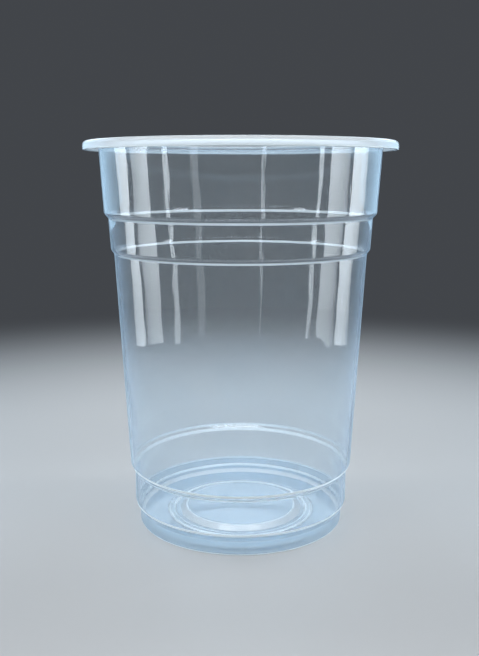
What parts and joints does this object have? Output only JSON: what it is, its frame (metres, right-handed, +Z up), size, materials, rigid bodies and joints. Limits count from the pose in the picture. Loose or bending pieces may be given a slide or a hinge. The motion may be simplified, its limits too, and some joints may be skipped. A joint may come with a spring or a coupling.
{
  "type": "clear plastic popcorn cup",
  "caption": "Clear moulded cup with a stepped, tapering wall, a flat lip with a turned-down skirt, and a raised floor on a ring foot, to hold popcorn or a drink.",
  "frame": {"origin": "on the axis of the cup, at the level of the table it stands on", "axes": "+Z up along the axis of the cup, towards the mouth; X and Y are free, as the cup is round"},
  "size_m": [0.095, 0.095, 0.1194],
  "materials": {
    "clear_plastic": "clear, slightly milky, glossy"
  },
  "bodies": {
    "root": {"cup": "clear_plastic"}
  },
  "joints": []
}
